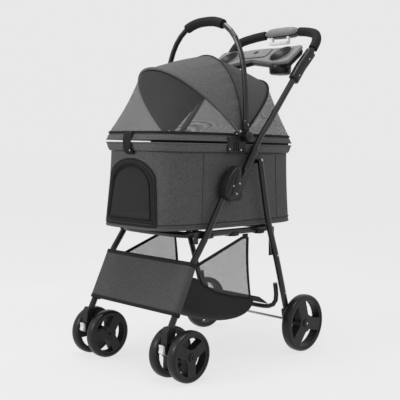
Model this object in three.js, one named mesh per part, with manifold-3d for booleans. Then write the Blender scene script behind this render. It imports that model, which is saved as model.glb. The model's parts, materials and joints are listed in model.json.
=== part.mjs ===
// A pet stroller: a folding tube frame on six wheels, with a lift-off fabric carrier under a domed canopy.
// Millimetres, +Z up. The stroller faces -Y, and +X is its left side.
// Sizes are drawn with y = 0 on the carrier's hinge line; the last lines move the origin to the middle.
import * as THREE from 'three';
import { mergeVertices } from 'three/addons/utils/BufferGeometryUtils.js';
import Module from 'manifold-3d';

const wasm = await Module();
wasm.setup();

// ---- Driving dimensions ----
const gap = 0.4;
const tubeRadius = 9.2;
const legX = 173.5;
const handleX = 175;
const rearX = 182;

const foldPivot = [-46, 497];
const rearPivot = [54, 604];
const seatPivot = [-158, 388];
const strutPivot = [143, 314];
const swivel = [-300, 107];
const frontWheel = { y: -255, radius: 71, width: 30, offset: 36 };
const rearWheel = { y: 243, radius: 89, width: 33, x: 213 };

const seat = { halfWidth: 150, halfLength: 197, y: -12, z: seatPivot[1], radius: 9 };
const carrier = { halfWidth: 156, halfLength: 300, bottom: 402, top: 619, wall: 4, squareness: 4.5 };
const rim = { halfWidth: 161.5, halfLength: 297, wall: 5 };
const bodyRim = { low: 619.4, high: 643 };
const canopyRim = { low: 651, high: 669 };
const hingeZ = 665;
const frontBow = { half: 158.5, length: 288, angle: -49.5, squareness: 2 };
const rearBow = { half: 156, length: 268, angle: 46.5, squareness: 3 };
const ridgeHeight = 247;
const bowRadius = 4;
const archTop = 1012;
const archSteps = 30;

const pod = { y: 380, z: 1023, halfWidth: 66, halfDepth: 28, halfHeight: 18 };
const middleY = (frontWheel.y - frontWheel.radius + pod.y + pod.halfDepth) / 2;

// ---- Materials ----
const blackTube = material(0x141415, 0.28, 0.4);
const steel = material(0xa8a8a8, 0.3, 1);
const blackPlastic = material(0x1b1b1c, 0.5);
const wheelPlastic = material(0x222223, 0.55);
const tyreRubber = material(0x1a1a1b, 0.6);
const foam = material(0x2a2a2b, 0.9);
const greyPlastic = material(0x8f8f90, 0.5);
const lightPlastic = material(0xcfcfce, 0.45);
const charcoalFabric = material(0x4e4e50, 0.95);
const greyFabric = material(0x6c6c6e, 0.95);
const meshFabric = material(0x3a3a3b, 0.9);
const cushionFabric = material(0x77777a, 0.95);

function material(color, roughness, metalness = 0) {
  return new THREE.MeshStandardMaterial({ color, roughness, metalness });
}

// ---- Shape helpers ----
const stroller = new THREE.Group();

function add(name, geometry, itsMaterial) {
  const mesh = new THREE.Mesh(geometry, itsMaterial);
  mesh.name = name;
  stroller.add(mesh);
}

function addPair(name, geometry, itsMaterial) {
  add(`${name}_left`, geometry, itsMaterial);
  add(`${name}_right`, mirrored(geometry), itsMaterial);
}

// The same closed body on the other side of the YZ plane, its faces still pointing out.
function mirrored(geometry) {
  const copy = merged(geometry).scale(-1, 1, 1);
  const turned = Array.from(copy.index.array);
  for (let i = 0; i < turned.length; i += 3) {
    [turned[i], turned[i + 1]] = [turned[i + 1], turned[i]];
  }
  copy.setIndex(turned);
  return copy;
}

function merged(geometry) {
  const bare = geometry.clone();
  bare.deleteAttribute('normal');
  bare.deleteAttribute('uv');
  return mergeVertices(bare, 1e-3);
}

function toSolid(geometry) {
  const whole = merged(geometry);
  return new wasm.Manifold(
    new wasm.Mesh({
      numProp: 3,
      vertProperties: Float32Array.from(whole.attributes.position.array),
      triVerts: Uint32Array.from(whole.index.array),
    }),
  );
}

function toGeometry(solid) {
  const { vertProperties, triVerts } = solid.getMesh();
  const geometry = new THREE.BufferGeometry();
  geometry.setAttribute('position', new THREE.BufferAttribute(vertProperties, 3));
  geometry.setIndex(new THREE.BufferAttribute(triVerts, 1));
  return geometry;
}

function join(...geometries) {
  return toGeometry(geometries.map(toSolid).reduce((whole, piece) => whole.add(piece)));
}

function cut(geometry, ...tools) {
  return toGeometry(tools.map(toSolid).reduce((left, tool) => left.subtract(tool), toSolid(geometry)));
}

function common(geometry, other) {
  return toGeometry(toSolid(geometry).intersect(toSolid(other)));
}

// A body skinned over a row of outlines with equal numbers of points.
// ring: the last outline joins the first. strip: each outline is a thin band, closed across its thickness.
function skin(outlines, { ring = false, strip = false } = {}) {
  const count = outlines[0].length;
  const points = outlines.flat();
  const faces = [];
  const spans = ring ? outlines.length : outlines.length - 1;
  for (let i = 0; i < spans; i += 1) {
    const here = i * count;
    const next = ((i + 1) % outlines.length) * count;
    for (let k = 0; k < count; k += 1) {
      const after = (k + 1) % count;
      faces.push([here + k, here + after, next + after], [here + k, next + after, next + k]);
    }
  }
  if (!ring) {
    const last = (outlines.length - 1) * count;
    closeEnd(points, faces, 0, count, strip, false);
    closeEnd(points, faces, last, count, strip, true);
  }
  return facingOut(points, faces);
}

function closeEnd(points, faces, first, count, strip, flip) {
  const put = (a, b, c) => faces.push(flip ? [b, a, c] : [a, b, c]);
  if (strip) {
    for (let k = 0; k < count / 2 - 1; k += 1) {
      const across = count - 1 - k;
      put(first + k + 1, first + k, first + across);
      put(first + k + 1, first + across, first + across - 1);
    }
    return;
  }
  const centre = new THREE.Vector3();
  for (let k = 0; k < count; k += 1) {
    centre.addScaledVector(points[first + k], 1 / count);
  }
  points.push(centre);
  for (let k = 0; k < count; k += 1) {
    put(points.length - 1, first + ((k + 1) % count), first + k);
  }
}

function facingOut(points, faces) {
  const volume = faces.reduce((sum, [a, b, c]) => {
    const normal = new THREE.Vector3().crossVectors(points[b], points[c]);
    return sum + points[a].dot(normal);
  }, 0);
  const index = faces.flatMap(([a, b, c]) => (volume > 0 ? [a, b, c] : [b, a, c]));
  const geometry = new THREE.BufferGeometry().setFromPoints(points);
  geometry.setIndex(index);
  return geometry;
}

// A plate drawn in the side view as [y, z] points, from x = low to x = high.
function plate(outline, low, high) {
  const shape = new THREE.Shape(outline.map(([y, z]) => new THREE.Vector2(y, z)));
  const geometry = new THREE.ExtrudeGeometry(shape, { depth: high - low, bevelEnabled: false });
  const sideways = new THREE.Matrix4().makeBasis(
    new THREE.Vector3(0, 1, 0),
    new THREE.Vector3(0, 0, 1),
    new THREE.Vector3(1, 0, 0),
  );
  return geometry.applyMatrix4(sideways).translate(low, 0, 0);
}

// A round bar along X.
function disc([y, z], radius, low, high, sides = 20) {
  const geometry = new THREE.CylinderGeometry(radius, radius, high - low, sides);
  return geometry.rotateZ(Math.PI / 2).translate((low + high) / 2, y, z);
}

function curveThrough(points) {
  const corners = points.map((point) => new THREE.Vector3(...point));
  return new THREE.CatmullRomCurve3(corners, false, 'centripetal');
}

function tubeAlong(curve, radius, steps, sides = 10) {
  const corners = [];
  for (let k = 0; k < sides; k += 1) {
    const turn = (2 * Math.PI * k) / sides;
    corners.push(new THREE.Vector2(radius * Math.cos(turn), radius * Math.sin(turn)));
  }
  const section = new THREE.Shape(corners);
  return new THREE.ExtrudeGeometry(section, { steps, extrudePath: curve, bevelEnabled: false });
}

// The rounded rectangle that the carrier, its rims and the seat tube share, at height z.
function roundedLoop(halfWidth, halfLength, z, { squareness = carrier.squareness, count = 40 } = {}) {
  const loop = [];
  for (let k = 0; k < count; k += 1) {
    const turn = (2 * Math.PI * k) / count;
    const { x, y } = loopPoint(halfWidth, halfLength, turn, squareness);
    loop.push(new THREE.Vector3(x, y, z));
  }
  return loop;
}

function loopPoint(halfWidth, halfLength, turn, squareness = carrier.squareness) {
  const soften = (value) => Math.sign(value) * Math.abs(value) ** (2 / squareness);
  return { x: halfWidth * soften(Math.cos(turn)), y: halfLength * soften(Math.sin(turn)) };
}

const radians = (degrees) => (degrees * Math.PI) / 180;

// A point in the side view, u along a line at an angle from +Y and v to its rear side.
function along([y, z], angle, u, v) {
  const c = Math.cos(radians(angle));
  const s = Math.sin(radians(angle));
  return [y + u * c + v * s, z + u * s - v * c];
}

// ---- Front frame ----
const frontLegCurve = curveThrough([
  [legX, -300, 116],
  [legX, -295, 135],
  [legX, -272, 182],
  [legX, -214, 307],
  [legX, -166, 375],
  [legX, -92, 494],
  [legX, -78, 516],
]);

function frontLegs() {
  addPair('front_leg', tubeAlong(frontLegCurve, tubeRadius, 14), blackTube);
  const reach = legX - tubeRadius - gap;
  add('front_cross_tube', disc([-271, 184], 7, -reach, reach, 12), blackTube);
}

// The lower half of each fold joint: a socket for the leg, with two cheeks that reach the pivot.
function foldHousings() {
  const socket = [
    [-86, 484], [-70, 488], [-63, 504], along(foldPivot, 84, 18, 0), along(foldPivot, 84, 84, 0),
    [-49, 581], [-74, 566], [-93, 545], [-103, 520], [-105, 496],
  ];
  const block = plate(socket, 164.8, 190);
  const cheekOutline = [[-84, 478], [-92, 520], along(foldPivot, 88, 30, 0)];
  const rings = [[164.8, 168.6], [187.4, 190]].map(([low, high]) => join(
    disc(foldPivot, 16, low, high),
    plate([...cheekOutline, along(foldPivot, 88, 4, 0), [-52, 484]], low, high),
  ));
  const leg = tubeAlong(frontLegCurve, tubeRadius + gap, 14);
  const tongueRoom = disc(foldPivot, 16.6, 168.6, 187.4);
  addPair('fold_housing', cut(join(block, ...rings), leg, tongueRoom), blackPlastic);
}

// ---- Casters and front wheels ----
function casters() {
  const [swivelY, swivelZ] = swivel;
  const socket = plate(
    [[-314, swivelZ + gap], [-286, swivelZ + gap], [-280, 148], [-304, 152], [-312, 140]],
    legX - 11.5,
    legX + 11.5,
  );
  const leg = tubeAlong(frontLegCurve, tubeRadius + gap, 14);
  addPair('caster_socket', cut(socket, leg), blackPlastic);

  const forkOutline = [
    [-316, swivelZ], [swivelY + 17, swivelZ], [-262, 94], [-240, 80], [-240, 62], [-254, 56], [-276, 60],
    [-316, 82],
  ];
  const fork = plate(forkOutline, legX - 12, legX + 12);
  const reach = frontWheel.offset + frontWheel.width / 2 + 3;
  const axle = disc([frontWheel.y, frontWheel.radius], 3.6, legX - reach, legX + reach, 12);
  addPair('caster_fork', join(fork, axle), blackPlastic);
  addPair('caster_lock', plate(lockOutline(), legX - 8, legX + 8), lightPlastic);
}

function lockOutline() {
  return [[-317, 82], [-317, 102], [-321, 106.6], [-325, 106.6], [-323, 96], [-325.5, 86], [-322, 82]];
}

// ---- Wheels ----
function tyre({ y, radius, width }, x) {
  const half = width / 2;
  const profile = [
    [-half + 1, radius - 10], [-half, radius - 6], [-half * 0.6, radius - 1.2], [0, radius],
    [half * 0.6, radius - 1.2], [half, radius - 6], [half - 1, radius - 10],
  ];
  const outlines = [];
  const segments = 32;
  for (let k = 0; k < segments; k += 1) {
    const turn = (2 * Math.PI * (k + 0.5)) / segments - Math.PI / 2;
    outlines.push(profile.map(([side, out]) => new THREE.Vector3(
      x + side,
      y + out * Math.cos(turn),
      radius + out * Math.sin(turn),
    )));
  }
  return skin(outlines, { ring: true });
}

function arc(path, radius, from, to, steps) {
  for (let k = 0; k <= steps; k += 1) {
    const turn = from + ((to - from) * k) / steps;
    path.push(new THREE.Vector2(radius * Math.cos(turn), radius * Math.sin(turn)));
  }
  return path;
}

// A three-spoke disc with a bored boss. The phase places the first window, in degrees from straight down.
function spokedRim({ y, radius, width }, x, bore, phase) {
  const edge = radius - 10 - gap - 0.2;
  const shape = new THREE.Shape(arc([], edge, 0, 2 * Math.PI * (31 / 32), 31));
  for (let spoke = 0; spoke < 3; spoke += 1) {
    const middle = radians(phase) + (2 * Math.PI * spoke) / 3;
    const outer = arc([], edge - 7, middle - 0.76, middle + 0.76, 7);
    const inner = arc([], edge * 0.36, middle + 0.34, middle - 0.34, 2);
    shape.holes.push(new THREE.Path([...outer, ...inner]));
  }
  shape.holes.push(new THREE.Path(arc([], bore, 0, 2 * Math.PI * (11 / 12), 11)));
  const depth = width - 4;
  const geometry = new THREE.ExtrudeGeometry(shape, { depth, bevelEnabled: false });
  return geometry.rotateY(Math.PI / 2).translate(x - depth / 2, y, radius);
}

function frontWheels() {
  for (const [side, sign, phase] of [['left', 1, 60], ['right', -1, 90]]) {
    for (const [place, step] of [['outer', sign], ['inner', -sign]]) {
      const x = sign * legX + step * frontWheel.offset;
      add(`front_tyre_${side}_${place}`, tyre(frontWheel, x), tyreRubber);
      add(`front_rim_${side}_${place}`, spokedRim(frontWheel, x, 4.2, phase), wheelPlastic);
    }
  }
}

// ---- Rear frame ----
const rearLegCurve = curveThrough([
  [rearX, 55.5, 600],
  [rearX, 102, 409],
  [rearX, 143, 300],
  [rearX, 183, 181],
  [rearX, 198, 136],
  [rearX, 209, 108],
]);

const axlePlace = [rearWheel.y, rearWheel.radius];

function rearFrame() {
  addPair('rear_leg', tubeAlong(rearLegCurve, tubeRadius, 12), blackTube);
  const half = [
    [160, 168, 215], [160, 174, 186], [157, 177, 160], [147, 177, 145], [128, 175, 137], [60, 173, 134],
  ];
  const whole = [...half, ...half.map(([x, y, z]) => [-x, y, z]).reverse()];
  add('rear_cross_tube', tubeAlong(curveThrough(whole), 7, 24), blackTube);
  const blockOutline = [
    [188, 132], [214, 140], [246, 106], [257, 98], [259, 86], [252, 74], [238, 73], [220, 84], [194, 106],
  ];
  const leg = tubeAlong(rearLegCurve, tubeRadius + gap, 12);
  const block = cut(plate(blockOutline, 171, 194), leg, disc(axlePlace, 4.5, 160, 200, 12));
  addPair('axle_block', block, blackPlastic);
  const reach = rearWheel.x + rearWheel.width / 2 + 3;
  add('rear_axle', disc(axlePlace, 4, -reach, reach, 12), steel);
  const pedal = [[262, 104], [260, 116], [268, 127], [294, 131], [296, 125], [274, 118], [270, 104]];
  addPair('brake_pedal', plate(pedal, 152, 192), lightPlastic);
}

function rearWheels() {
  for (const [side, sign] of [['left', 1], ['right', -1]]) {
    add(`rear_tyre_${side}`, tyre(rearWheel, sign * rearWheel.x), tyreRubber);
    add(`rear_rim_${side}`, spokedRim(rearWheel, sign * rearWheel.x, 4.6, 20), wheelPlastic);
  }
}

// ---- Handle frame ----
const handleSide = [
  [handleX, -24, 533],
  [handleX, 57, 657],
  [handleX, 108, 718],
  [handleX, 224, 857],
  [handleX, 300, 937],
  [handleX - 1, 330, 977],
  [handleX - 13, 344, 998],
  [handleX - 50, 362, 1012],
  [72, pod.y - 3, pod.z - 2],
  [26, pod.y, pod.z],
];
const handleCurve = curveThrough([...handleSide, ...handleSide.map(([x, y, z]) => [-x, y, z]).reverse()]);
const handleAngle = 57;
const handleSteps = 50;

// The upper half of each fold joint: a tongue at the pivot, a sleeve for the tube, and a lug behind it.
function handleBrackets() {
  const place = (u, v) => along(foldPivot, handleAngle, u, v);
  const tongue = join(
    disc(foldPivot, 15.6, 169, 187),
    plate([place(2, -6), place(2, 12), place(24, 10), place(24, -8)], 169, 187),
  );
  const blockOutline = [
    place(18.6, 9), place(18.6, -7), place(34, -13), place(80, -13),
    place(88, -6), place(88, 6), place(80, 12), place(34, 12),
  ];
  const block = plate(blockOutline, 164.8, 187);
  const sleeve = new THREE.CylinderGeometry(12.4, 12.4, 78, 16);
  sleeve.rotateX(radians(handleAngle)).translate(handleX, ...place(119, 0));
  const lugOutline = [place(110, 6), place(157, 6), place(157, 32), place(146, 40), place(132, 34)];
  const lug = plate(lugOutline, 166, 172.2);
  const tube = tubeAlong(handleCurve, tubeRadius + gap, handleSteps);
  addPair('handle_bracket', cut(join(tongue, block, sleeve, lug), tube), blackPlastic);
}

function curvePart(curve, from, to, count) {
  const points = [];
  for (let k = 0; k <= count; k += 1) {
    points.push(curve.getPointAt(from + ((to - from) * k) / count).toArray());
  }
  return curveThrough(points);
}

function handlebar() {
  add('handle_tube', tubeAlong(handleCurve, tubeRadius, handleSteps), blackTube);
  const bore = tubeAlong(handleCurve, tubeRadius + gap, handleSteps);
  const grip = tubeAlong(curvePart(handleCurve, 0.349, 0.452, 14), 15, 14, 12);
  addPair('grip', cut(grip, bore), foam);

  const { halfWidth, halfDepth, halfHeight } = pod;
  const outlines = [-1, -0.88, 0, 0.88, 1].map((place) => {
    const size = 1 - 0.28 * Math.abs(place) ** 8;
    const loop = roundedLoop(halfDepth * size, halfHeight * size, 0, { squareness: 3, count: 16 });
    return loop.map((point) => new THREE.Vector3(place * halfWidth, pod.y + point.x, pod.z + point.y));
  });
  const [triggerX, triggerY] = [34, 364.5];
  const pockets = [-triggerX, triggerX].map((x) => (
    new THREE.BoxGeometry(10, 15, 26).translate(x, triggerY, pod.z - 12)
  ));
  add('console', cut(skin(outlines), bore, ...pockets), greyPlastic);

  const bar = new THREE.BoxGeometry(2 * triggerX + 8, 20, 9).translate(0, triggerY - 5, 987);
  const arms = [-triggerX, triggerX].map((x) => new THREE.BoxGeometry(8, 10, 25).translate(x, triggerY, 996));
  add('fold_trigger', join(bar, ...arms), lightPlastic);
}

const trayTop = { front: [190, 902], back: [266, 957] };

function tray() {
  const outline = [trayTop.front, [194, 880], [212, 875], [284, 936], [280, 956], trayTop.back];
  const slope = Math.atan2(trayTop.back[1] - trayTop.front[1], trayTop.back[0] - trayTop.front[0]);
  const body = plate(outline, -164, 164);
  const clamps = [1, -1].map((sign) => {
    const sleeve = [[208, 852], [232, 838], [300, 914], [280, 940]];
    return sign > 0 ? plate(sleeve, 160, 189) : plate(sleeve, -189, -160);
  });
  const cup = (x, radius, low, high) => {
    const round = new THREE.CylinderGeometry(radius, radius - 3, high - low, 24);
    return round.rotateX(Math.PI / 2).translate(x, 228, (low + high) / 2);
  };
  const cups = [-112, 112].map((x) => cup(x, 37, 862, 899));
  const wells = [-112, 112].map((x) => cup(x, 34, 866, 970));
  const store = new THREE.BoxGeometry(104, 62, 40);
  store.rotateX(slope).translate(0, 232, 921);
  const tube = tubeAlong(handleCurve, tubeRadius + gap, handleSteps);
  add('tray', cut(join(body, ...clamps, ...cups), ...wells, store, tube), greyPlastic);

  const angle = (slope * 180) / Math.PI;
  const place = (u, v) => along(trayTop.front, angle, u, v);
  const lid = [place(3, -0.5), place(92, -0.5), place(92, -7), place(84, -11), place(10, -9), place(3, -5)];
  add('tray_lid', plate(lid, -58, 58), greyPlastic);
}

// ---- Seat frame ----
function seatRing(radius) {
  const loop = roundedLoop(seat.halfWidth, seat.halfLength, seat.z, { squareness: 6, count: 40 });
  const middle = loop.map((point) => point.add(new THREE.Vector3(0, seat.y, 0)));
  const outlines = middle.map((point, k) => {
    const before = middle[(k + middle.length - 1) % middle.length];
    const after = middle[(k + 1) % middle.length];
    const forward = new THREE.Vector3().subVectors(after, before).normalize();
    const out = new THREE.Vector3(forward.y, -forward.x, 0);
    const circle = [];
    for (let i = 0; i < 8; i += 1) {
      const turn = (2 * Math.PI * i) / 8;
      const at = point.clone().addScaledVector(out, radius * Math.cos(turn));
      circle.push(at.setZ(point.z + radius * Math.sin(turn)));
    }
    return circle;
  });
  return skin(outlines, { ring: true });
}

// The seat's tube loop is split at its pivots: the front end stays on the front frame, the rest folds down.
function seatFrame() {
  const ring = seatRing(seat.radius);
  const [pivotY] = seatPivot;
  const block = (low, high) => (
    new THREE.BoxGeometry(400, high - low, 60).translate(0, (low + high) / 2, seat.z)
  );
  add('seat_tube', cut(ring, block(-400, pivotY + 6)), blackTube);

  const frontEnd = pivotY - 13;
  const hangers = [1, -1].flatMap((sign) => [
    new THREE.BoxGeometry(4.5, 42, 18).translate(sign * 161.6, pivotY - 9, seat.z),
    new THREE.BoxGeometry(12, 14, 12).translate(sign * 156, frontEnd - 8, seat.z),
  ]);
  add('seat_front_loop', join(cut(ring, block(frontEnd, 400)), ...hangers), blackTube);

  const room = seatRing(seat.radius + gap);
  const top = [140, seat.z];
  const strut = [[top[0] - 11, 394], [strutPivot[0] - 11, 306], [strutPivot[0] + 7, 306], [top[0] + 9, 394]];
  const pin = disc(top, 5, 141, 161.5, 10);
  addPair('seat_strut', cut(join(plate(strut, 161, 165.5), pin), room), blackTube);
}

// ---- Carrier ----
function carrierShell() {
  const { halfWidth, halfLength, bottom, top, wall } = carrier;
  const outer = [
    [halfWidth - 6, halfLength - 8, bottom],
    [halfWidth, halfLength, bottom + 6],
    [halfWidth - 4, halfLength - 9, (bottom + top) / 2],
    [halfWidth - 2, halfLength - 12, top],
  ];
  const inner = [outer[3], outer[2], [halfWidth, halfLength, bottom + 8]];
  const outlines = [
    ...outer.map(([w, l, z]) => roundedLoop(w, l, z)),
    ...inner.map(([w, l, z]) => roundedLoop(w - wall, l - wall, z)),
  ];
  return skin(outlines);
}

// The arched front doorway, as a block cut square to the carrier's front. It narrows towards its head.
function doorArch(shrink) {
  const foot = 103 - shrink;
  const shoulder = 92 - shrink;
  const sill = 418 + shrink;
  const spring = 530;
  const rise = 62 - shrink;
  const corners = [new THREE.Vector2(-foot, sill), new THREE.Vector2(foot, sill)];
  for (let k = 0; k <= 10; k += 1) {
    const turn = (Math.PI * k) / 10;
    corners.push(new THREE.Vector2(shoulder * Math.cos(turn), spring + rise * Math.sin(turn)));
  }
  const block = new THREE.ExtrudeGeometry(new THREE.Shape(corners), { depth: 80, bevelEnabled: false });
  return block.rotateX(Math.PI / 2).translate(0, -240, 0);
}

function carrierBody() {
  add('carrier_body', cut(carrierShell(), doorArch(0)), charcoalFabric);
  add('front_door', common(carrierShell(), doorArch(1)), meshFabric);
  const floor = carrier.bottom + 8;
  const cushion = [
    [134, 270, floor + gap], [144, 281, floor + 7], [144, 281, floor + 18], [134, 270, floor + 25],
  ];
  add('cushion', skin(cushion.map(([w, l, z]) => roundedLoop(w, l, z, { count: 32 }))), cushionFabric);
}

function rimBand({ low, high }) {
  const { halfWidth, halfLength, wall } = rim;
  const outlines = [
    roundedLoop(halfWidth, halfLength, low),
    roundedLoop(halfWidth, halfLength, high),
    roundedLoop(halfWidth - wall, halfLength - wall, high),
    roundedLoop(halfWidth - wall, halfLength - wall, low),
  ];
  return skin(outlines, { ring: true });
}

function rims() {
  add('body_rim', rimBand(bodyRim), greyFabric);
  add('canopy_rim', rimBand(canopyRim), greyFabric);
}

// Side brackets that tie the two rims together, each with a round boss that the carry handle turns on.
function hingeBrackets() {
  const { halfWidth } = rim;
  const outline = [
    [-68, 662], [-68, 626], [-60, 618], [2, 618], [8, 626], [14, 670], [8, 677], [-10, 677], [-20, 668],
  ];
  const pivot = [0, hingeZ];
  const boss = disc(pivot, 7, halfWidth + 3, 182);
  const cap = disc(pivot, 13, 178.5, 184);
  addPair('hinge_bracket', join(plate(outline, halfWidth + gap, halfWidth + 3), boss, cap), blackPlastic);
}

function archCurve() {
  const side = [
    [173, 0, hingeZ + 13.8],
    [171, 0, 740],
    [165, 0, 820],
    [152, 0, 895],
    [124, 0, 955],
    [84, 0, 993],
    [40, 0, 1009],
  ];
  return curveThrough([...side, [0, 0, archTop], ...side.map(([x, y, z]) => [-x, y, z]).reverse()]);
}

function carryHandle() {
  const arch = archCurve();
  const hub = disc([0, hingeZ], 15, 165.6, 178);
  const hubs = [hub, mirrored(hub)];
  const bosses = disc([0, hingeZ], 7 + gap, -200, 200);
  add('carry_handle', cut(join(tubeAlong(arch, 8, archSteps), ...hubs), bosses), blackTube);
  const pad = tubeAlong(curvePart(arch, 0.41, 0.59, 8), 14.5, 8, 12);
  add('carry_grip', cut(pad, tubeAlong(arch, 8 + gap, archSteps)), foam);
}

// ---- Canopy ----
function bowPoint({ half, length, angle, squareness }, turn) {
  const { x, y: reach } = loopPoint(half, length, turn, squareness);
  const lean = radians(angle);
  return new THREE.Vector3(x, reach * Math.sin(lean), hingeZ + reach * Math.cos(lean));
}

// The turn at which a bow first stands a given distance off the hinge line.
function firstTurn({ length, squareness }, reach) {
  return Math.asin((reach / length) ** (squareness / 2));
}

function bow(itsBow) {
  const points = [];
  const start = firstTurn(itsBow, 18);
  for (let k = 0; k <= 24; k += 1) {
    points.push(bowPoint(itsBow, start + ((Math.PI - 2 * start) * k) / 24).toArray());
  }
  return tubeAlong(curveThrough(points), bowRadius, 30, 6);
}

// The hood's height over the hinge line at an angle: straight cloth from bow to ridge.
function ridgeLength(angle) {
  const end = angle < 0 ? frontBow : rearBow;
  const a = [end.length * Math.sin(radians(end.angle)), end.length * Math.cos(radians(end.angle))];
  const run = [-a[0], ridgeHeight - a[1]];
  const ray = [Math.sin(radians(angle)), Math.cos(radians(angle))];
  return (a[0] * run[1] - a[1] * run[0]) / (ray[0] * run[1] - ray[1] * run[0]);
}

function band(outer, inner, first, steps) {
  const outline = [];
  for (let k = 0; k <= steps; k += 1) {
    outline.push(outer(first + ((Math.PI - 2 * first) * k) / steps));
  }
  for (let k = steps; k >= 0; k -= 1) {
    outline.push(inner(first + ((Math.PI - 2 * first) * k) / steps));
  }
  return outline;
}

function hood() {
  const outlines = [];
  const [front, back, spans] = [-44, 41, 6];
  for (let k = 0; k <= spans; k += 1) {
    const angle = front + ((back - front) * k) / spans;
    const squareness = 2 + Math.max(0, angle / rearBow.angle);
    const outside = { half: 153, length: ridgeLength(angle) - 6, angle, squareness };
    const inside = { ...outside, half: outside.half - 2.5, length: outside.length - 3 };
    const first = firstTurn(outside, 50);
    outlines.push(band((turn) => bowPoint(outside, turn), (turn) => bowPoint(inside, turn), first, 16));
  }
  return skin(outlines, { strip: true });
}

// A see-through side of the canopy, from just beyond a bow down to the rim.
function canopyMesh(itsBow, halfAtBow) {
  const direction = Math.sign(itsBow.angle);
  const outlines = [];
  const spans = 3;
  const thickness = 2.5;
  const edge = (turn, down, inset) => {
    const top = bowPoint({
      half: halfAtBow - inset,
      length: itsBow.length - 2 - inset,
      angle: itsBow.angle + 4 * direction,
      squareness: itsBow.squareness,
    }, turn);
    const foot = loopPoint(rim.halfWidth - 2 - inset, rim.halfLength - 3 - inset, turn);
    return top.lerp(new THREE.Vector3(foot.x, direction * Math.abs(foot.y), canopyRim.high + 4), down);
  };
  const first = firstTurn(itsBow, 80);
  for (let k = 0; k <= spans; k += 1) {
    const down = k / spans;
    outlines.push(band((turn) => edge(turn, down, 0), (turn) => edge(turn, down, thickness), first, 16));
  }
  return skin(outlines, { strip: true });
}

function canopy() {
  add('canopy_front_bow', bow(frontBow), blackPlastic);
  add('canopy_rear_bow', bow(rearBow), blackPlastic);
  add('canopy_hood', hood(), greyFabric);
  add('canopy_front_mesh', canopyMesh(frontBow, 156.5), meshFabric);
  add('canopy_rear_mesh', canopyMesh(rearBow, 155), meshFabric);
}

// ---- Basket ----
function basket() {
  const front = [[-224, 313], [-283, 186], [-286, 187], [-227, 314.5]];
  add('basket_front', plate(front, -184, 184), greyFabric);
  const outside = [
    [-206, 303], [-262, 192], [-223, 172], [-115, 133], [-31, 114], [32, 114], [66, 139], [70, 180],
    [118, 179], [118, 183], [50, 187], [36, 368], [12, 371], [-182, 314],
  ];
  const inside = [
    [-203, 420], [-203, 303], [-256, 194], [-221, 176], [-114, 137], [-31, 118], [31, 118], [62, 141],
    [66, 187], [66, 420],
  ];
  const tub = cut(plate(outside, -160, 160), plate(inside, -157, 157));
  add('basket_bag', tub, meshFabric);
}

frontLegs();
foldHousings();
casters();
frontWheels();
rearFrame();
rearWheels();
handleBrackets();
handlebar();
tray();
seatFrame();
carrierBody();
rims();
hingeBrackets();
carryHandle();
canopy();
basket();

stroller.position.y = -middleY;

export default stroller;
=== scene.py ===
# The looks of the pet stroller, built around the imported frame.
# Metres, +Z up, the stroller faces -Y. Places come from the frame's own nodes and joints.
import json
import math

import bpy
import numpy as np
from mathutils import Matrix, Vector


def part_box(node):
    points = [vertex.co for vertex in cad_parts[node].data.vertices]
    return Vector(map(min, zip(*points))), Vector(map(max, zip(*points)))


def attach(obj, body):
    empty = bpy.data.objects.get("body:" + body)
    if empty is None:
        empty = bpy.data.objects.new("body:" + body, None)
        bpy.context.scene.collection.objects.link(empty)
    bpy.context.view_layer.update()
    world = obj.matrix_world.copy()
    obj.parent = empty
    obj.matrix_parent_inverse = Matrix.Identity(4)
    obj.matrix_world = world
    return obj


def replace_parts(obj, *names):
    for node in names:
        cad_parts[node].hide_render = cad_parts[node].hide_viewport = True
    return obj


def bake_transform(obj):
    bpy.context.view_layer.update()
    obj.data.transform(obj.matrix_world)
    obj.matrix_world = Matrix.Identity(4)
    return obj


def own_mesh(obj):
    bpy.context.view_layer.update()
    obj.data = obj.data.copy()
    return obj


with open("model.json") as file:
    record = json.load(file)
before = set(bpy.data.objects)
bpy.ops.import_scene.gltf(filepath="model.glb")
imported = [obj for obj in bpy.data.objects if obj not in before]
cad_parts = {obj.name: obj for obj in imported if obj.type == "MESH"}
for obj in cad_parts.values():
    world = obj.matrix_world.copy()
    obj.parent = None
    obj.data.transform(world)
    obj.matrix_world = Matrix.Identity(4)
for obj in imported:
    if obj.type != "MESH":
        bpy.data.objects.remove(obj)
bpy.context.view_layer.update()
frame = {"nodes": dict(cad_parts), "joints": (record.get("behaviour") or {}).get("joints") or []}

SIDES = (("left", 1), ("right", -1))
joints = {joint["name"]: joint for joint in frame["joints"]}
hinge = Vector(joints["carry_handle_swing"]["pos_m"])
SQUARENESS = 4.5


def at(x, y, z):
    """A point in millimetres, y measured from the carrier's hinge line."""
    return Vector((x / 1000, hinge.y + y / 1000, z / 1000))


# ---------------------------------------------------------------- shapes


def corners(node):
    low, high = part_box(node)
    return Vector(low), Vector(high)


def link(obj):
    bpy.context.scene.collection.objects.link(obj)
    return obj


def piece(name, verts, faces, material, body, uvs=None):
    """A smooth mesh object that rides on a body, or on none yet when the body is None."""
    mesh = bpy.data.meshes.new(name)
    mesh.from_pydata([tuple(v) for v in verts], [], faces)
    mesh.update()
    if uvs is not None:
        layer = mesh.uv_layers.new(name="cloth")
        for loop in mesh.loops:
            layer.data[loop.index].uv = uvs[loop.vertex_index]
    mesh.materials.append(material)
    for polygon in mesh.polygons:
        polygon.use_smooth = True
    obj = link(bpy.data.objects.new(name, mesh))
    if body is not None:
        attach(obj, body)
    return obj


def grid_faces(rows, columns, close_rows=False, close_columns=False):
    """Quads of a grid of points, row by row."""
    faces = []
    for i in range(rows if close_rows else rows - 1):
        for k in range(columns if close_columns else columns - 1):
            a = i * columns + k
            b = i * columns + (k + 1) % columns
            c = ((i + 1) % rows) * columns + (k + 1) % columns
            d = ((i + 1) % rows) * columns + k
            faces.append((a, b, c, d))
    return faces


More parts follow.
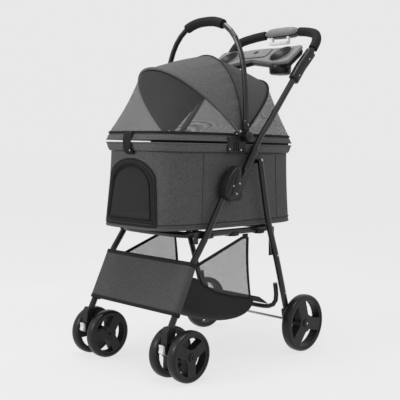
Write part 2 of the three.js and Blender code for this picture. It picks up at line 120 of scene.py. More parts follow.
def skin(name, rows, material, body, closed=True, ring=False, caps=False):
    """A surface through rows of points; closed joins each row's ends, caps fills the first and last row."""
    columns = len(rows[0])
    faces = grid_faces(len(rows), columns, ring, closed)
    if caps:
        faces.append(tuple(reversed(range(columns))))
        faces.append(tuple(range((len(rows) - 1) * columns, len(rows) * columns)))
    return piece(name, [p for row in rows for p in row], faces, material, body, cloth_uvs(rows))


def cloth_uvs(rows):
    """Distances across and along a sheet, in metres, so that a weave keeps its size."""
    grid = np.array([[tuple(p) for p in row] for row in rows])
    across = np.zeros(grid.shape[:2])
    across[:, 1:] = np.cumsum(np.linalg.norm(np.diff(grid, axis=1), axis=2), axis=1)
    across -= across[:, -1:] / 2
    down = np.zeros(grid.shape[:2])
    down[1:] = np.cumsum(np.linalg.norm(np.diff(grid, axis=0), axis=2), axis=0)
    return list(zip(across.ravel(), down.ravel()))


def spaced(points, count, closed=False):
    """The same path with evenly spaced points."""
    path = np.array([tuple(p) for p in points], float)
    if closed:
        path = np.vstack([path, path[:1]])
    run = np.concatenate([[0], np.cumsum(np.linalg.norm(np.diff(path, axis=0), axis=1))])
    stops = np.linspace(0, run[-1], count + 1 if closed else count)
    even = np.stack([np.interp(stops, run, path[:, k]) for k in range(3)], axis=1)
    return [Vector(p) for p in (even[:-1] if closed else even)]


def smooth_path(points, count):
    """A Catmull-Rom curve through a few points."""
    p = [Vector(q) for q in points]
    p = [2 * p[0] - p[1]] + p + [2 * p[-1] - p[-2]]
    out = []
    for i in range(1, len(p) - 2):
        for t in np.linspace(0, 1, 12, endpoint=False):
            a, b, c, d = p[i - 1], p[i], p[i + 1], p[i + 2]
            out.append(0.5 * (2 * b + (c - a) * t + (2 * a - 5 * b + 4 * c - d) * t * t
                              + (3 * b - a - 3 * c + d) * t ** 3))
    return spaced(out + [p[-2]], count)


def sweep(name, path, material, body, size=(0.002, 0.002), closed=False, up=(0, 0, 1), sides=10,
          power=2):
    """A rod, piping or strap along a path. size is half its width and half its height."""
    rows = []
    count = len(path)
    for i, at in enumerate(path):
        before = path[i - 1] if closed or i else path[0]
        after = path[(i + 1) % count] if closed or i < count - 1 else path[-1]
        ahead = (after - before).normalized()
        side = ahead.cross(Vector(up))
        side = side.normalized() if side.length > 1e-6 else Vector((1, 0, 0))
        top = side.cross(ahead).normalized()
        row = []
        for k in range(sides):
            turn = 2 * math.pi * k / sides
            c, s = math.cos(turn), math.sin(turn)
            c = math.copysign(abs(c) ** (2 / power), c)
            s = math.copysign(abs(s) ** (2 / power), s)
            row.append(at + side * size[0] * c + top * size[1] * s)
        rows.append(row)
    return skin(name, rows, material, body, closed=True, ring=closed, caps=not closed)


def rounded_loop(half_width, half_length, z, count=160, squareness=SQUARENESS):
    """The rounded rectangle of the carrier at height z, around the hinge line."""
    points = []
    for k in range(720):
        turn = 2 * math.pi * k / 720
        c, s = math.cos(turn), math.sin(turn)
        x = half_width * math.copysign(abs(c) ** (2 / squareness), c)
        y = half_length * math.copysign(abs(s) ** (2 / squareness), s)
        points.append(Vector((x, hinge.y + y, z)))
    return spaced(points, count, closed=True)


def wave(values, seed):
    """A smooth irregular ripple from -1 to 1."""
    rng = np.random.default_rng(seed)
    total = np.zeros_like(np.asarray(values, float))
    for rate in (1.0, 1.7, 2.9, 4.3):
        total += np.sin(np.asarray(values) * rate + rng.uniform(0, 6.28)) / rate ** 0.5
    return total / 2.6


def modified(obj, kind, **settings):
    modifier = obj.modifiers.new(kind.title(), kind)
    for key, value in settings.items():
        setattr(modifier, key, value)
    return obj


def applied(obj):
    """The object with its modifiers made part of its mesh."""
    bpy.context.view_layer.update()
    graph = bpy.context.evaluated_depsgraph_get()
    mesh = bpy.data.meshes.new_from_object(obj.evaluated_get(graph))
    obj.modifiers.clear()
    obj.data = mesh
    return obj


# ---------------------------------------------------------------- materials


def shader(name, roughness, metallic=0.0, specular=0.5):
    material = bpy.data.materials.new(name)
    material.use_nodes = True
    tree = material.node_tree
    surface = tree.nodes["Principled BSDF"]
    surface.inputs["Roughness"].default_value = roughness
    surface.inputs["Metallic"].default_value = metallic
    surface.inputs["Specular IOR Level"].default_value = specular
    return material, tree, surface


def node(tree, kind, inputs=None, **settings):
    made = tree.nodes.new(kind)
    for key, value in settings.items():
        setattr(made, key, value)
    for key, value in (inputs or {}).items():
        if isinstance(value, bpy.types.NodeSocket):
            tree.links.new(value, made.inputs[key])
        else:
            made.inputs[key].default_value = value
    return made


def noise(tree, scale, detail=3.0, stretch=(1, 1, 1)):
    place = node(tree, "ShaderNodeTexCoord").outputs["Object"]
    place = node(tree, "ShaderNodeMapping", {"Vector": place, "Scale": stretch}).outputs["Vector"]
    return node(tree, "ShaderNodeTexNoise",
                {"Vector": place, "Scale": scale, "Detail": detail}).outputs["Fac"]


def ramp(tree, value, low, high, start=0.3, end=0.7):
    made = node(tree, "ShaderNodeValToRGB", {"Fac": value})
    made.color_ramp.elements[0].position = start
    made.color_ramp.elements[1].position = end
    made.color_ramp.elements[0].color = (*low, 1)
    made.color_ramp.elements[1].color = (*high, 1)
    return made.outputs["Color"]


def grey(value, warm=0.0):
    return (value * (1 + warm), value, value * (1 - warm))


def bumped(tree, surface, height, strength, distance):
    bump = node(tree, "ShaderNodeBump", {"Height": height, "Strength": strength, "Distance": distance})
    tree.links.new(bump.outputs["Normal"], surface.inputs["Normal"])


def heather(name, value, contrast=0.35):
    """Woven polyester of two yarns: pale flecks run along the threads over a slow change of tone."""
    material, tree, surface = shader(name, 0.95, specular=0.15)
    flecks = noise(tree, 560, 4, (1, 1, 0.55))
    slow = noise(tree, 5, 1)
    both = node(tree, "ShaderNodeMix", {0: 0.12, 2: flecks, 3: slow}).outputs[0]
    colour = ramp(tree, both, grey(value * (1 - contrast)), grey(value * (1 + contrast)), 0.38, 0.62)
    tree.links.new(colour, surface.inputs["Base Color"])
    bumped(tree, surface, noise(tree, 700, 2), 0.35, 0.0006)
    return material


def webbing(name, value):
    """Black binding tape with a fine rib."""
    material, tree, surface = shader(name, 0.8, specular=0.2)
    tree.links.new(ramp(tree, noise(tree, 500), grey(value * 0.7), grey(value * 1.4)),
                   surface.inputs["Base Color"])
    bumped(tree, surface, noise(tree, 1200, 1), 0.3, 0.0004)
    return material


def net(name, value, cover, cell=0.0022):
    """Knitted mesh: threads with small open holes, laid out on the sheet's own distances."""
    material, tree, surface = shader(name, 0.85)
    tree.links.new(ramp(tree, noise(tree, 250), grey(value * 0.8), grey(value * 1.2)),
                   surface.inputs["Base Color"])
    place = node(tree, "ShaderNodeUVMap", uv_map="cloth").outputs["UV"]
    split = node(tree, "ShaderNodeSeparateXYZ", {"Vector": place})
    waves = []
    for axis in ("X", "Y"):
        turn = node(tree, "ShaderNodeMath", {0: split.outputs[axis], 1: math.pi / cell}, operation="MULTIPLY")
        waves.append(node(tree, "ShaderNodeMath", {0: turn.outputs[0]}, operation="SINE").outputs[0])
    lattice = node(tree, "ShaderNodeMath", {0: waves[0], 1: waves[1]}, operation="MULTIPLY").outputs[0]
    hole = node(tree, "ShaderNodeMath", {0: lattice}, operation="ABSOLUTE").outputs[0]
    solid = node(tree, "ShaderNodeMath", {0: hole, 1: cover}, operation="LESS_THAN").outputs[0]
    tree.links.new(solid, surface.inputs["Alpha"])
    return material


def paint(name, value, roughness):
    """Powder-coated tube: gloss black with a faint orange peel."""
    material, tree, surface = shader(name, roughness, specular=0.45)
    tree.links.new(ramp(tree, noise(tree, 60), grey(value * 0.85), grey(value * 1.15)),
                   surface.inputs["Base Color"])
    bumped(tree, surface, noise(tree, 900, 1), 0.05, 0.0003)
    return material


def plastic(name, value, roughness, grain=0.12):
    """Moulded plastic with a fine spark-eroded grain and slightly uneven gloss."""
    material, tree, surface = shader(name, roughness, specular=0.3)
    tree.links.new(ramp(tree, noise(tree, 35), grey(value * 0.93), grey(value * 1.07)),
                   surface.inputs["Base Color"])
    gloss = ramp(tree, noise(tree, 90), grey(roughness * 0.88), grey(min(1, roughness * 1.12)))
    tree.links.new(gloss, surface.inputs["Roughness"])
    bumped(tree, surface, noise(tree, 1500, 2), grain, 0.0003)
    return material


def foam_rubber(name, value):
    """Closed-cell foam: a soft matt skin with tiny pits."""
    material, tree, surface = shader(name, 0.7, specular=0.2)
    tree.links.new(ramp(tree, noise(tree, 600), grey(value * 0.8), grey(value * 1.25)),
                   surface.inputs["Base Color"])
    bumped(tree, surface, noise(tree, 800, 3), 0.4, 0.0006)
    return material


def bright_metal(name):
    material, tree, surface = shader(name, 0.25, metallic=1.0)
    tree.links.new(ramp(tree, noise(tree, 200), grey(0.35), grey(0.5)), surface.inputs["Base Color"])
    return material


body_cloth = heather("heather_charcoal", 0.080, 0.36)
trim_cloth = heather("heather_grey", 0.092, 0.36)
# One hood heather in two tones: lighter for the front panel as painted light from above, darker for the rear
# panel as painted shade.
hood_cloth_painted_light = heather("heather_hood_painted_light", 0.104, 0.3)
hood_cloth_painted_shade = heather("heather_hood_rear", 0.078, 0.3)
lining = heather("lining_dark", 0.009, 0.2)
panel_cloth = heather("heather_panel", 0.062)
tape = webbing("binding_tape", 0.010)
seam_thread = webbing("seam_thread", 0.03)
door_net = net("door_net", 0.008, 0.80, 0.0016)
canopy_net = net("canopy_net", 0.050, 0.44)
basket_net = net("basket_net", 0.05, 0.48)
tube_paint = paint("gloss_black", 0.006, 0.24)
black_plastic = plastic("satin_black", 0.009, 0.4)
wheel_plastic = plastic("wheel_black", 0.012, 0.5)
tyre_rubber = plastic("tyre_black", 0.011, 0.33, 0.2)
grey_plastic = plastic("satin_grey", 0.185, 0.5)
light_plastic = plastic("light_grey", 0.62, 0.42)
foam = foam_rubber("grip_foam", 0.009)
steel = bright_metal("bright_steel")
pad_cloth = heather("pad_cloth", 0.14, 0.2)
pouch_cloth = webbing("pouch_cloth", 0.017)

NODE_LOOKS = {
    "front_leg": tube_paint, "front_cross_tube": tube_paint, "handle_tube": tube_paint,
    "rear_leg": tube_paint,
    "rear_cross_tube": tube_paint, "seat_tube": tube_paint, "seat_strut": tube_paint,
    "seat_front_loop": tube_paint, "carry_handle": tube_paint,
    "rear_axle": steel, "fold_housing": black_plastic, "caster_socket": black_plastic,
    "caster_fork": black_plastic, "handle_bracket": tube_paint, "axle_block": black_plastic,
    "hinge_bracket": black_plastic, "canopy_front_bow": tape,
    "canopy_rear_bow": tape, "front_rim": wheel_plastic, "rear_rim": wheel_plastic, "front_tyre": tyre_rubber,
    "rear_tyre": tyre_rubber, "grip": foam, "carry_grip": foam, "console": grey_plastic, "tray": grey_plastic,
    "tray_lid": grey_plastic, "caster_lock": light_plastic, "brake_pedal": light_plastic,
    "fold_trigger": light_plastic,
}
MOULDED = (
    "fold_housing", "handle_bracket", "axle_block", "caster_", "brake_pedal", "hinge_bracket",
    "front_rim", "rear_rim", "fold_trigger", "tray_lid",
)


def finish_nodes():
    """Every CAD node that stays gets its own finish, and moulded ones get softened edges."""
    for name, obj in frame["nodes"].items():
        match = [key for key in NODE_LOOKS if name.startswith(key)]
        if not match:
            continue
        look = NODE_LOOKS[max(match, key=len)]
        for slot in obj.material_slots:
            slot.material = look
        if name.startswith(MOULDED):
            modified(obj, "BEVEL", width=0.0014, segments=3, limit_method="ANGLE",
                     angle_limit=math.radians(28))


# ---------------------------------------------------------------- carrier


def carrier_profile(t):
    """Half width and half length of the fabric body, from its base (0) to its rim (1)."""
    low, high = corners("carrier_body")
    half_width = (high.x - low.x) / 2
    half_length = (high.y - low.y) / 2
    draw = 1 - (1 - min(1, t)) ** 1.6
    return half_width - 0.001 - 0.005 * draw, half_length + 0.001 - 0.014 * draw


def wall_points(t, z, count=200):
    half_width, half_length = carrier_profile(t)
    row = rounded_loop(half_width, half_length, z, count)
    centre = Vector((0, hinge.y, z))
    pucker = wave(np.linspace(0, 2 * math.pi, count, endpoint=False) * 6, 3)
    out = []
    for k, point in enumerate(row):
        drift = 0.0009 * float(pucker[k]) * math.sin(math.pi * t)
        out.append(point + (point - centre).normalized() * drift)
    return out


def carrier_wall():
    low, high = corners("carrier_body")
    bottom, top = low.z, high.z
    rows = [rounded_loop(*(s - 0.012 for s in carrier_profile(0)), bottom)]
    rows = [spaced(rows[0], 200, closed=True)]
    levels = 30
    for i in range(levels + 1):
        t = i / levels
        rows.append(wall_points(t, bottom + 0.003 + (top - bottom - 0.003) * t))
    inner = []
    for i in range(levels, -1, -3):
        t = i / levels
        half_width, half_length = carrier_profile(t)
        z = max(bottom + 0.008, bottom + (top - bottom) * t)
        inner.append(rounded_loop(half_width - 0.004, half_length - 0.004, z, 200))
    wall = skin("carrier_wall", rows + inner, body_cloth, "carrier", caps=True)
    cutter = arch_block("door_cutter", 0.0)
    modified(wall, "BOOLEAN", operation="DIFFERENCE", object=cutter, solver="EXACT")
    applied(wall)
    bpy.data.objects.remove(cutter)
    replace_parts(wall, "carrier_body")
    return wall


def arch_outline(shrink=0.0, steps=24):
    """The doorway seen from the front, as x and z: sides that lean in, under a round head."""
    low, high = corners("front_door")
    foot = (high.x - low.x) / 2 + 0.001 - shrink
    shoulder = foot - 0.011
    sill = low.z - 0.001 + shrink
    head = high.z + 0.001 - shrink
    spring = head - 0.062
    points = [(-foot, sill)]
    for k in range(steps + 1):
        points.append((-foot + 2 * foot * k / steps, sill))
    for k in range(steps + 1):
        turn = math.pi * k / steps
        points.append((shoulder * math.cos(turn), spring + (head - spring) * math.sin(turn)))
    return points[1:]


def arch_block(name, shrink):
    low, high = corners("front_door")
    outline = arch_outline(shrink)
    count = len(outline)
    verts = [(x, y, z) for y in (low.y - 0.03, high.y + 0.03) for x, z in outline]
    faces = [tuple(range(count)), tuple(reversed(range(count, 2 * count)))]
    faces += [(k, k + count, (k + 1) % count + count, (k + 1) % count) for k in range(count)]
    mesh = bpy.data.meshes.new(name)
    mesh.from_pydata(verts, [], faces)
    return link(bpy.data.objects.new(name, mesh))


def on_front(x, z, proud=0.0):
    """A point on the front of the fabric body."""
    low, high = corners("carrier_body")
    t = (z - low.z) / (high.z - low.z)
    half_width, half_length = carrier_profile(max(0, min(1, t)))
    y = half_length * (1 - min(1, abs(x) / half_width) ** SQUARENESS) ** (1 / SQUARENESS)
    return Vector((x, hinge.y - y - proud, z))


def front_door():
    """The mesh flap with its taped edge and zip."""
    outline = arch_outline(0.0015, 40)
    rows = []
    middle_z = sum(z for _, z in outline) / len(outline)
    for i in range(15):
        t = i / 14
        rows.append([on_front(x * t, middle_z + (z - middle_z) * t, -0.001) for x, z in outline])
    flap = skin("door_flap", rows, door_net, "front_door")
    flat = []
    for row in rows:
        flat += [(p.x, p.z) for p in row]
    layer = flap.data.uv_layers["cloth"]
    for loop in flap.data.loops:
        layer.data[loop.index].uv = flat[loop.vertex_index]
    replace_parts(flap, "front_door")
    for name, inset, size, look in (
        ("door_tape", 0.006, (0.0050, 0.0016), tape),
        ("door_welt", 0.0145, (0.0018, 0.0018), tape),
        ("door_zip", 0.0005, (0.0016, 0.0020), seam_thread),
    ):
        path = [on_front(x, z, 0.0008) for x, z in arch_outline(inset, 40)]
        sweep(name, spaced(path, 150, closed=True), look, "front_door", size, closed=True,
              up=(0, 1, 0))
    surround = [on_front(x, z, 0.0006) for x, z in arch_outline(-0.004, 40)]
    sweep("door_surround", spaced(surround, 150, closed=True), tape, "carrier", (0.0035, 0.0015),
          closed=True, up=(0, 1, 0))


def base_trim():
    """The dark seam above the base band, and the piping under it."""
    low, _ = corners("carrier_body")
    half_width, half_length = carrier_profile(0.06)
    seam = rounded_loop(half_width + 0.0008, half_length + 0.0008, low.z + 0.016, 160)
    sweep("base_seam", seam, seam_thread, "carrier", (0.0012, 0.0012), closed=True)
    half_width, half_length = carrier_profile(0)
    edge = rounded_loop(half_width - 0.001, half_length - 0.001, low.z + 0.003, 160)
    sweep("base_piping", edge, trim_cloth, "carrier", (0.003, 0.003), closed=True)


def side_seams():
    """Upright seams where the side panels are sewn to the front and the back."""
    low, high = corners("carrier_body")
    for name, sign in SIDES:
        for place, y in (("front", -0.52), ("rear", 0.6)):
            path = []
            for i in range(24):
                t = 0.08 + 0.9 * i / 23
                half_width, half_length = carrier_profile(t)
                x = half_width * (1 - abs(y) ** SQUARENESS) ** (1 / SQUARENESS)
                path.append(Vector((sign * (x + 0.0004), hinge.y + y * half_length,
                                    low.z + (high.z - low.z) * t)))
            sweep(f"side_seam_{place}_{name}", path, seam_thread, "carrier", (0.0007, 0.0007),
                  up=(1, 0, 0))


def rim_band(name, node_name, flare_up):
    """A padded fabric collar that flares towards the gap between the two rims."""
    low, high = corners(node_name)
    half_width = (high.x - low.x) / 2
    half_length = (high.y - low.y) / 2
    tall = high.z - low.z
    rows = []
    steps = 14
    for i in range(steps + 1):
        t = i / steps
        up = t if flare_up else 1 - t
        out = -0.0065 + 0.0065 * up + 0.0018 * math.sin(math.pi * t)
        if i in (0, steps):
            out -= 0.0015
        rows.append(rounded_loop(half_width + out, half_length + out, low.z + tall * t, 200))
    for t in (0.98, 0.5, 0.02):
        rows.append(rounded_loop(half_width - 0.011, half_length - 0.011, low.z + tall * t, 200))
    band = skin(name, rows, trim_cloth, "carrier", ring=True)
    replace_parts(band, node_name)
    edge_z = high.z - 0.001 if flare_up else low.z + 0.001
    edge = rounded_loop(half_width + 0.0005, half_length + 0.0005, edge_z, 200)
    sweep(f"{name}_piping", edge, trim_cloth, "carrier", (0.0022, 0.0022), closed=True)


def rim_gap_painted_shade():
    """A dark strip of tape colour inside the gap between the rims, round the rear half: painted shade of the
    carrier's inside seen through the gap. Light shows through in front.
    """
    low, high = corners("body_rim")
    _, top = corners("canopy_rim")
    flap = rounded_loop((high.x - low.x) / 2 - 0.006, (high.y - low.y) / 2 - 0.006, 0, 240)
    rows = []
    for z in (high.z - 0.006, (high.z + top.z) / 2 - 0.005, top.z - 0.012):
        rows.append([Vector((p.x, p.y, z)) for p in flap])
    for side, sign in SIDES:
        keep = [k for k, p in enumerate(flap) if sign * p.x > 0.02 and p.y > hinge.y - 0.02]
        keep.sort(key=lambda k: flap[k].y - sign * flap[k].x)
        skin(f"rim_gap_painted_shade_{side}", [[row[k] for k in keep] for row in rows], tape, "carrier",
             closed=False)


def rim_zip():
    """The black zip that joins the canopy's mesh to its rim."""
    low, high = corners("canopy_rim")
    half_width = (high.x - low.x) / 2 - 0.0055
    half_length = (high.y - low.y) / 2 - 0.0055
    track = rounded_loop(half_width, half_length, high.z + 0.0012, 200)
    sweep("rim_zip", track, tape, "carrier", (0.0035, 0.0022), closed=True)


def front_strap():
    """The webbing loop that holds the two rims together at the front, with its rivet."""
    _, top = corners("canopy_rim")
    low, high = corners("body_rim")
    y = low.y
    path = smooth_path([
        (0, y + 0.013, top.z + 0.002), (0, y + 0.006, top.z + 0.005), (0, y - 0.002, top.z - 0.001),
        (0, y - 0.006, top.z - 0.018), (0, y - 0.006, high.z - 0.008), (0, y - 0.004, low.z + 0.004),
        (0, y + 0.004, low.z - 0.006), (0, y + 0.009, low.z - 0.008),
    ], 40)
    strap = sweep("front_strap", path, tape, "carrier", (0.017, 0.0015), up=(0, 1, 0), power=5,
                  sides=16)
    rivet("strap_rivet", Vector((0.009, y - 0.0035, low.z + 0.001)), Vector((0, -1, -0.2)), 0.0028, "carrier")
    return strap


def cushion():
    """The base pad: a rounded oblong with soft edges and a flat middle."""
    low, high = corners("cushion")
    half_width = (high.x - low.x) / 2 - 0.002
    half_length = (high.y - low.y) / 2 - 0.002
    thick = high.z - low.z
    rows = []
    for inset, z in ((0.30, 0), (0.02, 0.0), (0, 0.25), (0, 0.55), (0.03, 0.78), (0.15, 0.95), (0.4, 1.0),
                     (0.75, 1.0)):
        scale = 1 - inset
        rows.append(rounded_loop(half_width * scale, half_length * scale, low.z + 0.001 + thick * 0.97 * z,
                                 120))
    pad = skin("cushion_pad", rows, pad_cloth, "carrier", caps=True)
    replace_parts(pad, "cushion")


# ---------------------------------------------------------------- canopy


def bow_size(node_name, squareness):
    """Half width, length, lean (radians, forward negative) and squareness of a bow, read from its node."""
    low, high = corners(node_name)
    half = (high.x - low.x) / 2 - 0.004
    forward = abs(low.y - hinge.y) > abs(high.y - hinge.y)
    reach = (low.y if forward else high.y) - hinge.y
    rise = high.z - hinge.z
    return half, math.hypot(reach, rise) - 0.005, math.atan2(reach, rise), squareness


def bow_point(bow, turn, extra=0.0):
    half, length, lean, squareness = bow
    c, s = math.cos(turn), max(0.0, math.sin(turn))
    x = (half + extra) * math.copysign(abs(c) ** (2 / squareness), c)
    reach = (length + extra) * s ** (2 / squareness)
    return Vector((x, hinge.y + reach * math.sin(lean), hinge.z + reach * math.cos(lean)))


front_bow = bow_size("canopy_front_bow", 2.05)
rear_bow = bow_size("canopy_rear_bow", 3.0)
ridge = (front_bow[0] - 0.001, corners("canopy_hood")[1].z - hinge.z + 0.006, 0.0, 2.0)


def turns(bow, reach, count=90):
    """Turns evenly spread over a bow, from a given distance off the hinge line."""
    first = math.asin((reach / bow[1]) ** (bow[3] / 2))
    return [first + (math.pi - 2 * first) * k / (count - 1) for k in range(count)]


def bow_arc(bow, reach, count, extra=0.0):
    """Evenly spaced points along a bow."""
    return spaced([bow_point(bow, turn, extra) for turn in turns(bow, reach, 400)], count)


def hood_panel(name, body, bow, gathers, seed, look, inset=0.0):
    """Cloth from the ridge seam to a bow. It is gathered along the ridge and bulges a little between."""
    count = 120
    ripple = wave(np.linspace(0, 74, count), seed)
    starts = bow_arc(ridge, 0.022, count, -inset)
    ends = bow_arc(bow, 0.022, count, -0.0005 - inset)
    rows = []
    steps = 24
    for i in range(steps + 1):
        t = i / steps
        row = []
        for k in range(count):
            point = starts[k].lerp(ends[k], t)
            arch = math.sin(math.pi * k / (count - 1))
            out = (point - Vector((0, hinge.y, hinge.z - 0.02))).normalized()
            belly = 0.004 * math.sin(math.pi * t) * arch
            crumple = gathers * float(ripple[k]) * math.exp(-t * 4.5) * min(1, 12 * t + 0.1) * arch ** 0.3
            row.append(point + out * (belly + crumple))
        rows.append(row)
    return skin(name, rows, look, body, closed=False)


def hood():
    """The hood's two cloth panels, each with a dark lining just inside it. The front panel's cloth is lighter
    as painted light from above, and the rear panel's is darker as painted shade.
    """
    front = hood_panel("hood_front", None, front_bow, 0.0046, 5, hood_cloth_painted_light)
    rear = hood_panel("hood_rear", "carrier", rear_bow, 0.0034, 8, hood_cloth_painted_shade)
    front_lining = hood_panel("hood_lining_front", None, front_bow, 0.0030, 5, lining, 0.003)
    hood_panel("hood_lining_rear", "carrier", rear_bow, 0.0030, 5, lining, 0.003)
    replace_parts(front, "canopy_hood")
    for panel in (front, front_lining):
        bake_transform(panel)
    seam = bow_arc(ridge, 0.010, 120, 0.0012)
    sweep("ridge_seam", seam, seam_thread, "carrier", (0.0020, 0.0020), up=(0, 1, 0))


def bow_hem(name, bow, body, extra, look, size):
    sweep(name, bow_arc(bow, 0.016, 120, extra), look, body, size, up=(0, 1, 0))


def canopy_side(name, bow, body, replaced, ahead):
    """The see-through side from a bow down to the canopy rim, with taped edges."""
    low, high = corners("canopy_rim")
    half_width = (high.x - low.x) / 2 - 0.0055
    half_length = (high.y - low.y) / 2 - 0.0055
    lean = bow[2] + ahead * math.radians(1.5)
    tops = bow_arc((bow[0], bow[1] - 0.001, lean, bow[3]), 0.024, 90)
    feet = []
    for k in range(400):
        turn = 0.008 + (math.pi - 0.016) * k / 399
        c, s = math.cos(turn), math.sin(turn)
        x = half_width * math.copysign(abs(c) ** (2 / SQUARENESS), c)
        y = ahead * half_length * s ** (2 / SQUARENESS)
        feet.append(Vector((x, hinge.y + y, high.z + 0.0035)))
    feet = spaced(feet, 90)
    rows = []
    steps = 16
    for i in range(steps + 1):
        t = i / steps
        row = []
        for k in range(90):
            sag = 0.004 * math.sin(math.pi * t) * math.sin(math.pi * k / 89)
            row.append(tops[k].lerp(feet[k], t) + Vector((0, -ahead, -0.4)) * sag)
        rows.append(row)
    side = skin(name, rows, canopy_net, body, closed=False)
    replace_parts(side, replaced)
    sweep(f"{name}_tape_low", rows[-1], tape, body, (0.0022, 0.0022), up=(0, 1, 0))
    for edge, k in (("left", 0), ("right", -1)):
        sweep(f"{name}_tape_{edge}", [row[k] for row in rows], tape, body, (0.0030, 0.0012),
              up=(1, 0, 0))


# ---------------------------------------------------------------- small hardware


def rivet(name, centre, axis, radius, body):
    """A domed rivet head that faces along an axis."""
    axis = axis.normalized()
    side = axis.orthogonal().normalized()
    other = axis.cross(side)
    rows = []
    for out, rise in ((1.0, -0.4), (1.0, 0.05), (0.85, 0.35), (0.5, 0.55), (0.15, 0.62)):
        row = []
        for k in range(16):
            turn = 2 * math.pi * k / 16
            around = side * math.cos(turn) + other * math.sin(turn)
            row.append(centre + around * radius * out + axis * radius * rise)
        rows.append(row)
    return skin(name, rows, steel, body, caps=True)


def rivets():
    for name, sign in SIDES:
        out = Vector((sign, 0, 0))
        for k, (y, z) in enumerate(((-72, 525), (-46, 531), (-59, 502))):
            rivet(f"housing_rivet_{name}_{k}", at(sign * 195.2, y, z), out, 0.0032, "front_frame")
        rivet(f"leg_rivet_{name}", at(sign * 191.4, 54, 598), out, 0.0038, "rear_frame")
        rivet(f"strut_rivet_{name}", at(sign * 191.4, 138, 308), out, 0.0036, "rear_frame")
        rivet(f"cross_rivet_{name}", at(sign * 191.4, 181, 187), out, 0.0036, "rear_frame")


# ---------------------------------------------------------------- wheels


def round_tyre(node_name, body):
    """A smooth tyre with a shallow crown and a moulded shoulder line."""
    low, high = corners(node_name)
    radius = (high.z - low.z) / 2 + 0.0003
    middle = Vector(((low.x + high.x) / 2, (low.y + high.y) / 2, (low.z + high.z) / 2))
    half = (high.x - low.x) / 2
    profile = []
    for k in range(28):
        turn = math.pi * (k / 27) - math.pi / 2
        side = half * math.copysign(abs(math.sin(turn)) ** 0.7, math.sin(turn))
        out = radius - 0.0105 + 0.0105 * max(0.0, math.cos(turn)) ** 0.75
        profile.append((side, out))
    profile += [(half * 0.88, radius - 0.0112), (-half * 0.88, radius - 0.0112)]
    rows = []
    for k in range(96):
        turn = 2 * math.pi * k / 96
        c, s = math.cos(turn), math.sin(turn)
        rows.append([middle + Vector((side, out * c, out * s)) for side, out in profile])
    tyre = skin(node_name.replace("tyre", "tread"), rows, tyre_rubber, body, ring=True)
    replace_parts(tyre, node_name)


def wheels():
    for name, _ in SIDES:
        for place in ("outer", "inner"):
            round_tyre(f"front_tyre_{name}_{place}", f"front_wheel_{name}_{place}")
        round_tyre(f"rear_tyre_{name}", f"rear_wheel_{name}")


# ---------------------------------------------------------------- basket


def basket_panel():
    """The front panel: heathered cloth wrapped round both front legs, with taped hems."""
    low, high = corners("basket_front")
    bottom = Vector((0, low.y + 0.001, low.z))
    top = Vector((0, high.y - 0.001, high.z))
    back = Vector((0, (top - bottom).z, -(top - bottom).y)).normalized()
    half = (high.x - low.x) / 2
    section = [(half - 0.022, 0.024), (half - 0.010, 0.026), (half - 0.001, 0.020), (half, 0.011),
               (half - 0.004, 0.003)]
    across = section + [(half - 0.012, 0.0)] + [(half * f, 0.001) for f in (0.7, 0.35)]
    outline = across + [(0, 0.0015)] + [(-x, d) for x, d in reversed(across)]
    rows = []
    steps = 12
    for i in range(steps + 1):
        t = i / steps
        base = bottom.lerp(top, t)
        path = smooth_path([base + Vector((x, 0, 0)) + back * d for x, d in outline], 120)
        ripple = wave(np.linspace(0, 20, 120) + t * 2, 11)
        row = []
        for k, point in enumerate(path):
            flat = 1 if abs(point.x) < half * 0.9 else 0
            slack = 0.0012 * float(ripple[k]) * math.sin(math.pi * t) * flat
            row.append(point + back * slack)
        rows.append(row)
    panel = skin("basket_panel", rows, panel_cloth, "front_frame", closed=False)
    modified(panel, "SOLIDIFY", thickness=0.0018, offset=0)
    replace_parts(panel, "basket_front")
    for name, row, tall in (("hem_top", rows[-1], 0.006), ("hem_bottom", rows[0], 0.005)):
        sweep(f"basket_{name}", row, tape, "front_frame", (0.0016, tall), power=4,
              up=tuple(top - bottom))


def basket_sides():
    """Net side panels hung from the seat, over a dark cloth pouch that sags between the legs."""
    front, back, peak = (-184, 301), (52, 183), ((14, 369), (34, 368))
    floor_line = [front, (-155, 250), (-103, 221), (-30, 200), back]
    for name, sign in SIDES:
        top = spaced([at(sign * 158, *p) for p in (front, *peak)], 40)
        foot = spaced([at(sign * 158, *p) for p in floor_line], 40)
        rows = []
        for i in range(17):
            t = i / 16
            rows.append([a.lerp(b, t) + Vector((-sign, 0, 0)) * 0.005 * math.sin(math.pi * t) * k / 39
                         for k, (a, b) in enumerate(zip(top, foot))])
        net_side = skin(f"basket_net_{name}", rows, basket_net, "front_frame", closed=False)
        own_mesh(net_side)
        for edge, path in (("top", top), ("rear", [row[-1] for row in rows]), ("foot", foot)):
            width = 0.0045 if edge != "foot" else 0.002
            hem = sweep(f"basket_tape_{edge}_{name}", path, tape, "front_frame", (0.0018, width),
                        up=(0, -0.5, 1), power=4)
            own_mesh(hem)
        tab = sweep(f"basket_tab_{name}", [at(sign * 158, 24, z) for z in (366, 372, 379)], tape,
                    "front_frame",
                    (0.002, 0.011), up=(0, 1, 0), power=5)
        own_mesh(tab)


